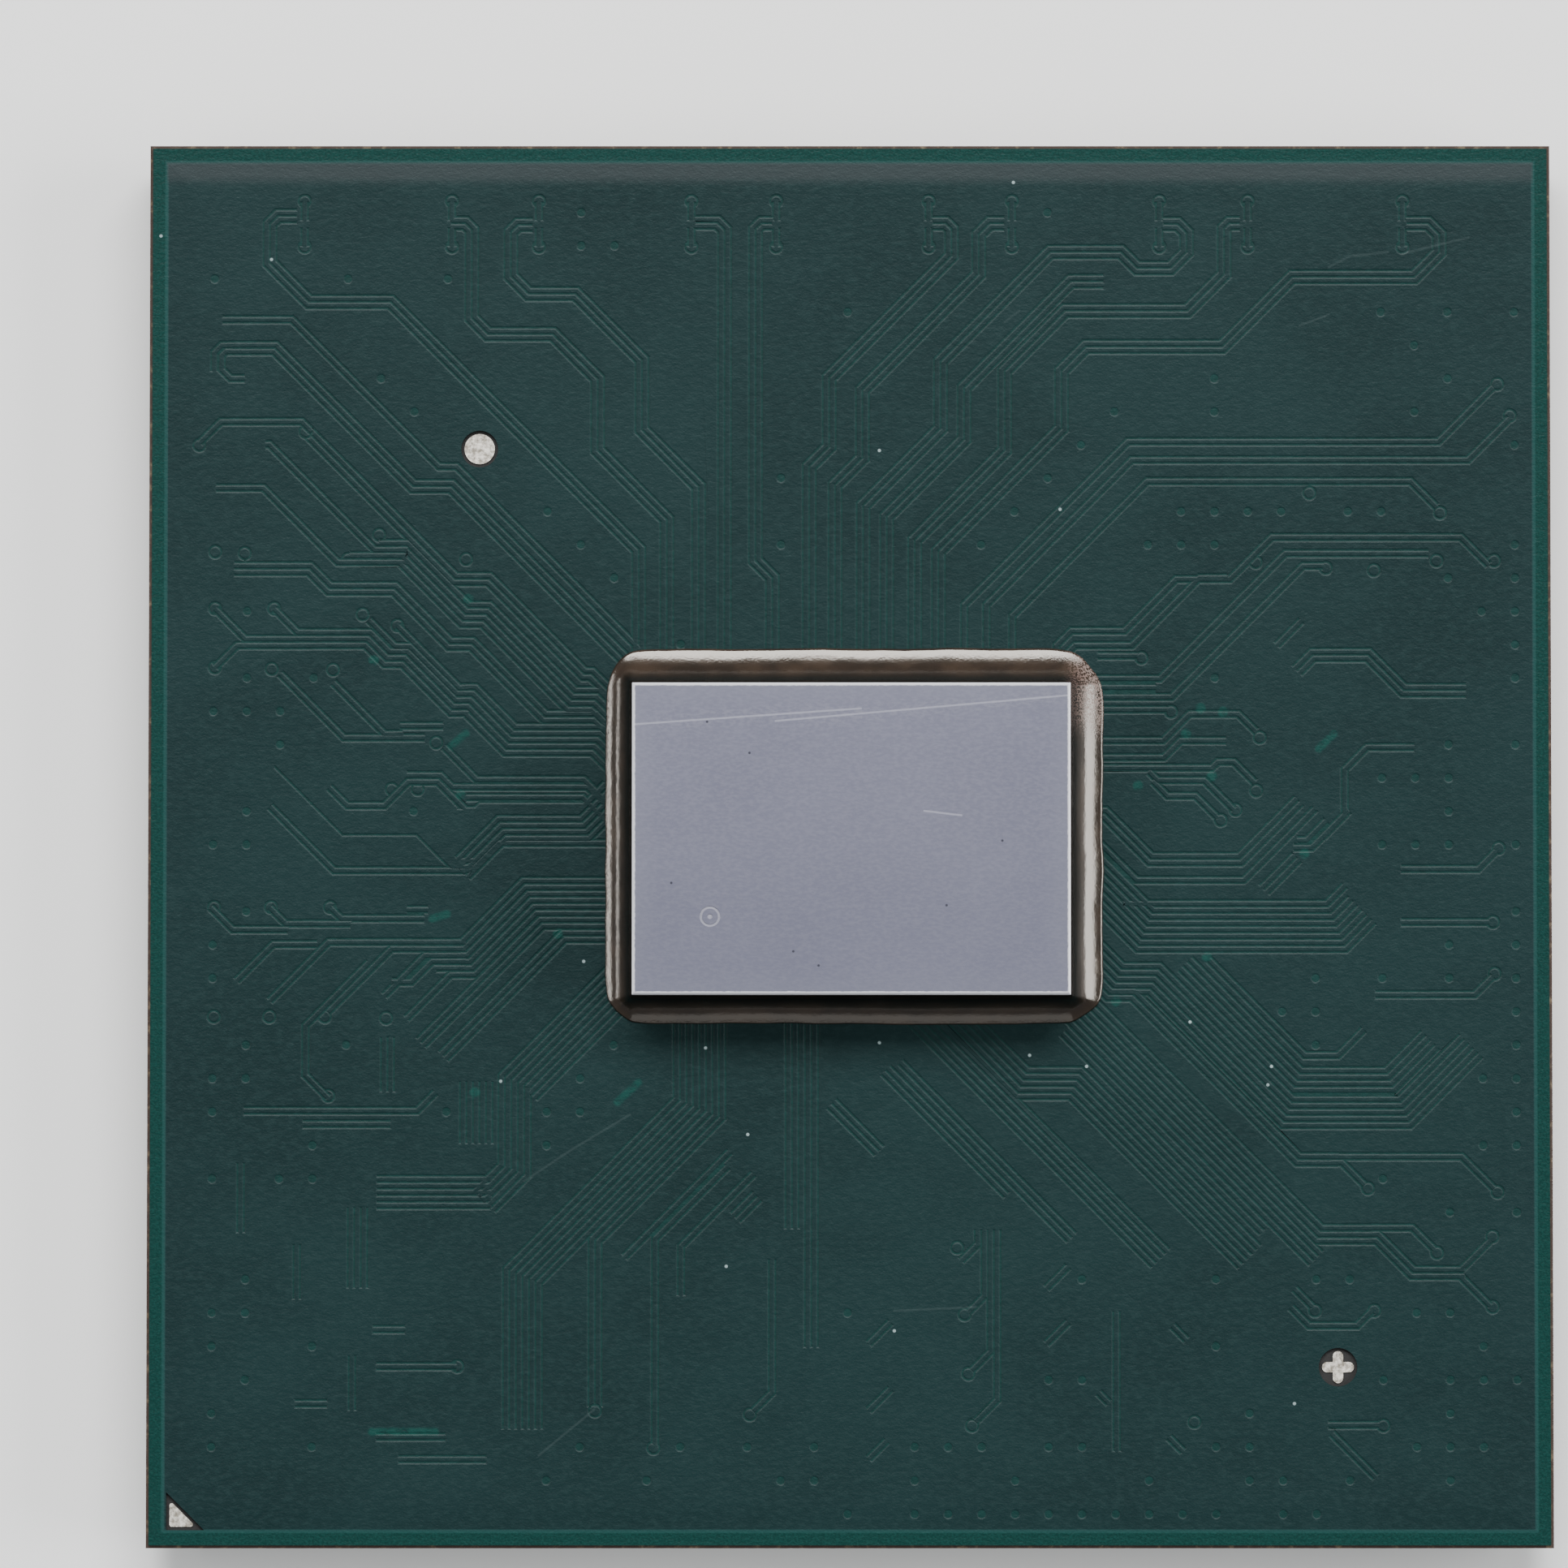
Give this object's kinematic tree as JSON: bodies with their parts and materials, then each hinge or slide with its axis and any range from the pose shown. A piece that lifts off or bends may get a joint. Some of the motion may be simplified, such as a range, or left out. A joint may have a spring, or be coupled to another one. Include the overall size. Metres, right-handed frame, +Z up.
{
  "type": "flip-chip ball grid array chip",
  "caption": "Square chip package: thin laminate with trace relief, bare silicon die with an underfill fillet on top, and a full grid of solder balls underneath.",
  "frame": {"origin": "middle of the body in X and Y, at the tips of the solder balls", "axes": "+X along the row letters, +Y along the ball numbers, +Z up through the die; ball A1 and the gold triangle are at low x and low y"},
  "size_m": [0.019, 0.019, 0.0018],
  "materials": {
    "laminate": "sawn glass-cloth laminate edge",
    "copper": "plated copper under the solder mask",
    "solder_mask": "satin dark green solder mask, fine grain",
    "plated_mark": "bright plated mark",
    "silicon": "ground back of a silicon die, satin with light scratches",
    "underfill": "glossy dark brown epoxy",
    "solder": "lead-free solder, satin with fine wrinkles"
  },
  "bodies": {
    "root": {"substrate_laminate": "laminate", "top_copper": "copper", "bottom_copper": "copper", "top_solder_mask": "solder_mask", "bottom_solder_mask": "solder_mask", "fiducial_dot": "plated_mark", "fiducial_cross": "plated_mark", "pin1_triangle": "plated_mark", "die": "silicon", "copper_pillars": "copper", "underfill": "underfill", "balls_row_a": "solder", "balls_row_b": "solder", "balls_row_c": "solder", "balls_row_d": "solder", "balls_row_e": "solder", "balls_row_f": "solder", "balls_row_g": "solder", "balls_row_h": "solder", "balls_row_j": "solder", "balls_row_k": "solder", "balls_row_l": "solder", "balls_row_m": "solder", "balls_row_n": "solder", "balls_row_p": "solder", "balls_row_r": "solder", "balls_row_t": "solder", "balls_row_u": "solder", "balls_row_v": "solder", "balls_row_w": "solder", "balls_row_y": "solder", "balls_row_aa": "solder", "balls_row_ab": "solder", "balls_row_ac": "solder"}
  },
  "joints": []
}
